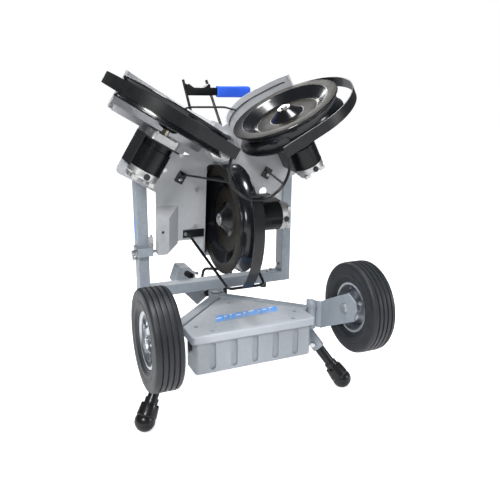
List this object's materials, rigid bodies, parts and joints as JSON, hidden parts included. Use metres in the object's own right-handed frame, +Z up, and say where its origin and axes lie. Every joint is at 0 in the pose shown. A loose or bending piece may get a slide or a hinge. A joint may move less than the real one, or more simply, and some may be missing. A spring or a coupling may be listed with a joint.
{
  "type": "baseball pitching machine",
  "caption": "Portable pitching machine: throwing wheels on a tilting head in a swivelling U-shaped yoke, over a low base with transport wheels and splayed legs.",
  "frame": {"origin": "on the ground under the middle of the machine's overall width and depth", "axes": "+Z up, -Y the way the ball is thrown, +X to the right of someone facing the machine's front"},
  "size_m": [0.691, 0.635, 0.9272],
  "materials": {
    "frame_paint": "satin grey powder coat",
    "sheet_paint": "satin light grey powder coat",
    "box_plastic": "moulded light grey plastic",
    "bush_brass": "machined",
    "zinc_steel": "zinc plated",
    "black_paint": "gloss black paint",
    "black_rubber": "matt black",
    "tyre_rubber": "ribbed black rubber",
    "black_plastic": "matt black",
    "panel_aluminium": "brushed",
    "motor_aluminium": "die cast",
    "wheel_gloss": "gloss black urethane",
    "spindle_steel": "turned",
    "blue_vinyl": "dipped blue vinyl"
  },
  "bodies": {
    "base": {"pivot_post": "frame_paint", "pivot_bushes": "bush_brass", "base_rails": "frame_paint", "base_brackets": "frame_paint", "leg_sockets": "frame_paint", "legs": "black_paint", "rubber_feet": "black_rubber", "leg_pins": "zinc_steel", "wheel_arms": "frame_paint", "axle_bolts": "zinc_steel", "supply_box": "box_plastic", "box_lid": "box_plastic", "lid_screws": "zinc_steel", "power_supply": "black_plastic"},
    "swivel_lock": {"swivel_lock_lever": "black_plastic"},
    "left_transport_wheel": {"left_tyre": "tyre_rubber", "left_rim": "zinc_steel"},
    "right_transport_wheel": {"right_tyre": "tyre_rubber", "right_rim": "zinc_steel"},
    "yoke": {"kingpin": "frame_paint", "crossbar": "frame_paint", "yoke_uprights": "frame_paint", "tilt_bolts": "zinc_steel", "travel_stops": "black_rubber", "tilt_lock_block": "frame_paint", "tilt_adjuster": "zinc_steel", "yoke_bolts": "zinc_steel", "control_box": "box_plastic", "control_panel": "panel_aluminium", "cable_fittings": "black_plastic", "motor_cable": "black_rubber"},
    "tilt_lock": {"tilt_lock_screw": "zinc_steel"},
    "left_knob": {"left_speed_knob": "black_plastic"},
    "lower_knob": {"lower_speed_knob": "black_plastic"},
    "right_knob": {"right_speed_knob": "black_plastic"},
    "switch": {"power_switch": "black_plastic"},
    "head": {"head_plate": "sheet_paint", "left_wheel_cover": "sheet_paint", "right_wheel_cover": "sheet_paint", "lower_wheel_cover": "sheet_paint", "feed_tube": "sheet_paint", "side_pod": "sheet_paint", "pivot_ears": "zinc_steel", "plate_bolts": "zinc_steel", "motor_brackets": "black_paint", "motor_cans": "black_paint", "motor_castings": "motor_aluminium", "upper_hoops": "black_paint", "lower_hoop": "black_paint", "muzzle_ring": "black_paint", "lower_guard": "black_paint", "handle_frame": "black_paint", "handle_grip": "blue_vinyl", "motor_lead": "black_rubber"},
    "left_thrower": {"left_throwing_wheel": "wheel_gloss", "left_spindle": "spindle_steel"},
    "right_thrower": {"right_throwing_wheel": "wheel_gloss", "right_spindle": "spindle_steel"},
    "lower_thrower": {"lower_throwing_wheel": "wheel_gloss", "lower_spindle": "spindle_steel"}
  },
  "joints": [
    {"name": "yoke_swivel", "type": "hinge", "parent": "base", "child": "yoke", "pos_m": [0, 0.1655, 0.27], "axis": [0, 0, 1], "range_deg": [-45, 45]},
    {"name": "head_tilt", "type": "hinge", "parent": "yoke", "child": "head", "pos_m": [0, 0.1655, 0.69], "axis": [1, 0, 0], "range_deg": [-45, 3]},
    {"name": "left_throwing_wheel_spin", "type": "hinge", "parent": "head", "child": "left_thrower", "pos_m": [-0.16706, 0.0295, 0.80464], "axis": [-0.5, 0.097, -0.8606], "continuous": true},
    {"name": "right_throwing_wheel_spin", "type": "hinge", "parent": "head", "child": "right_thrower", "pos_m": [0.16706, 0.0295, 0.80464], "axis": [0.5, 0.097, -0.8606], "continuous": true},
    {"name": "lower_throwing_wheel_spin", "type": "hinge", "parent": "head", "child": "lower_thrower", "pos_m": [0, 0.0619, 0.51711], "axis": [1, 0, 0], "continuous": true},
    {"name": "left_transport_wheel_spin", "type": "hinge", "parent": "base", "child": "left_transport_wheel", "pos_m": [-0.289, -0.1905, 0.2947], "axis": [1, 0, 0], "continuous": true},
    {"name": "right_transport_wheel_spin", "type": "hinge", "parent": "base", "child": "right_transport_wheel", "pos_m": [0.289, -0.1905, 0.2947], "axis": [1, 0, 0], "continuous": true},
    {"name": "left_speed_knob_turn", "type": "hinge", "parent": "yoke", "child": "left_knob", "pos_m": [-0.083, 0.2715, 0.31], "axis": [0, 1, 0], "range_deg": [0, 270]},
    {"name": "lower_speed_knob_turn", "type": "hinge", "parent": "yoke", "child": "lower_knob", "pos_m": [-0.059, 0.2715, 0.282], "axis": [0, 1, 0], "range_deg": [0, 270]},
    {"name": "right_speed_knob_turn", "type": "hinge", "parent": "yoke", "child": "right_knob", "pos_m": [-0.035, 0.2715, 0.254], "axis": [0, 1, 0], "range_deg": [0, 270]},
    {"name": "power_switch_rock", "type": "hinge", "parent": "yoke", "child": "switch", "pos_m": [-0.0766, 0.2655, 0.2557], "axis": [0.6561, 0, -0.7547], "range_deg": [-10, 10]},
    {"name": "tilt_lock_turn", "type": "hinge", "parent": "yoke", "child": "tilt_lock", "pos_m": [-0.24, 0.1345, 0.4235], "axis": [1, 0, 0], "range_deg": [-180, 180]},
    {"name": "swivel_lock_turn", "type": "hinge", "parent": "base", "child": "swivel_lock", "pos_m": [0.028, 0.1675, 0.2485], "axis": [1, 0, 0], "range_deg": [-60, 35]}
  ]
}
